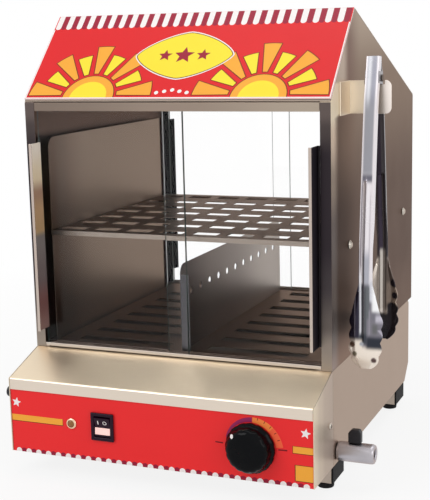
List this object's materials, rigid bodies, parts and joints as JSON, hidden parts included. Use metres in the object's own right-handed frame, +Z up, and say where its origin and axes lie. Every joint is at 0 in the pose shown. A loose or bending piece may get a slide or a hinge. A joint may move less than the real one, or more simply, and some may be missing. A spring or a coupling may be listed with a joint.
{
  "type": "hot dog steamer",
  "caption": "Countertop steam cabinet with gabled roof, sliding glass doors front and rear, heated water base with switch, lamp and thermostat, side drain valve and hanging tongs.",
  "frame": {"origin": "On the floor plane under the middle of the bounding box of the whole steamer with its tongs, at the bottom of the feet", "axes": "+X to the right of someone facing the serving side, +Y from the serving side to the back, +Z up"},
  "size_m": [0.4416, 0.4852, 0.5409],
  "materials": {
    "steel": "brushed stainless sheet",
    "bright_steel": "polished stainless",
    "dark_steel": "heat-darkened steel",
    "red_print": "glossy printed film on steel",
    "black_plastic": "glossy moulded",
    "rubber": "matt black",
    "valve_metal": "nickel-plated brass",
    "glass": "clear tempered glass",
    "lamp_lens": "translucent amber"
  },
  "bodies": {
    "housing": {"cabinet_left_side": "steel", "cabinet_right_side": "steel", "roof_cover": "steel", "sign_panel": "red_print", "front_header": "steel", "rear_header": "steel", "front_sill_track": "steel", "rear_sill_track": "steel", "left_liner": "steel", "right_liner": "steel", "front_left_peg": "steel", "front_right_peg": "steel", "rear_left_peg": "steel", "rear_right_peg": "steel", "bun_rack": "steel", "left_steam_tray": "steel", "right_steam_tray": "steel", "centre_divider": "steel", "serving_deck": "steel", "left_cheek": "steel", "right_cheek": "steel", "base_left_panel": "steel", "base_right_panel": "steel", "base_rear_panel": "steel", "base_floor": "steel", "control_panel": "red_print", "lamp_bezel": "bright_steel", "lamp_lens": "lamp_lens", "switch_housing": "black_plastic", "thermostat": "dark_steel", "cord_gland": "black_plastic", "front_rail": "steel", "rear_rail": "steel", "front_left_end_cap": "rubber", "front_right_end_cap": "rubber", "rear_left_end_cap": "rubber", "rear_right_end_cap": "rubber", "front_left_foot": "rubber", "front_right_foot": "rubber", "rear_left_foot": "rubber", "rear_right_foot": "rubber", "water_tank": "steel", "heating_element": "dark_steel", "drain_pipe": "steel", "drain_valve_body": "valve_metal", "tong_tab": "bright_steel"},
    "power_switch": {"power_rocker": "black_plastic"},
    "heat_knob": {"thermostat_knob": "black_plastic"},
    "drain_handle": {"drain_lever": "black_plastic"},
    "front_left_door": {"front_left_pane": "glass", "front_left_pull": "steel"},
    "front_right_door": {"front_right_pane": "glass", "front_right_pull": "steel"},
    "rear_left_door": {"rear_left_pane": "glass", "rear_left_pull": "steel"},
    "rear_right_door": {"rear_right_pane": "glass", "rear_right_pull": "steel"},
    "tongs": {"tong_front_arm": "bright_steel", "tong_pin": "bright_steel"},
    "tong_rear": {"tong_rear_arm": "bright_steel"}
  },
  "joints": [
    {"name": "power_switch_rock", "type": "hinge", "parent": "housing", "child": "power_switch", "pos_m": [-0.0848, -0.2226, 0.07], "axis": [1, 0, 0], "range_deg": [-14, 0]},
    {"name": "thermostat_turn", "type": "hinge", "parent": "housing", "child": "heat_knob", "pos_m": [0.0983, -0.2226, 0.0663], "axis": [0, 1, 0], "range_deg": [-90, 210]},
    {"name": "drain_turn", "type": "hinge", "parent": "housing", "child": "drain_handle", "pos_m": [0.1925, -0.1354, 0.0413], "axis": [0, 0, 1], "range_deg": [0, 90]},
    {"name": "front_left_door_slide", "type": "slide", "parent": "housing", "child": "front_left_door", "axis": [1, 0, 0], "range_m": [0, 0.15]},
    {"name": "front_right_door_slide", "type": "slide", "parent": "housing", "child": "front_right_door", "axis": [1, 0, 0], "range_m": [-0.15, 0]},
    {"name": "rear_left_door_slide", "type": "slide", "parent": "housing", "child": "rear_left_door", "axis": [1, 0, 0], "range_m": [0, 0.15]},
    {"name": "rear_right_door_slide", "type": "slide", "parent": "housing", "child": "rear_right_door", "axis": [1, 0, 0], "range_m": [-0.15, 0]},
    {"name": "tongs_lift", "type": "slide", "parent": "housing", "child": "tongs", "axis": [0, 0, 1], "range_m": [0, 0.1]},
    {"name": "tongs_squeeze", "type": "hinge", "parent": "tongs", "child": "tong_rear", "pos_m": [0.2013, -0.08505, 0.4623], "axis": [1, 0, 0], "range_deg": [-14.3, 0], "stiffness_Nm_per_rad": 1.5, "springref_deg": 8.59}
  ]
}
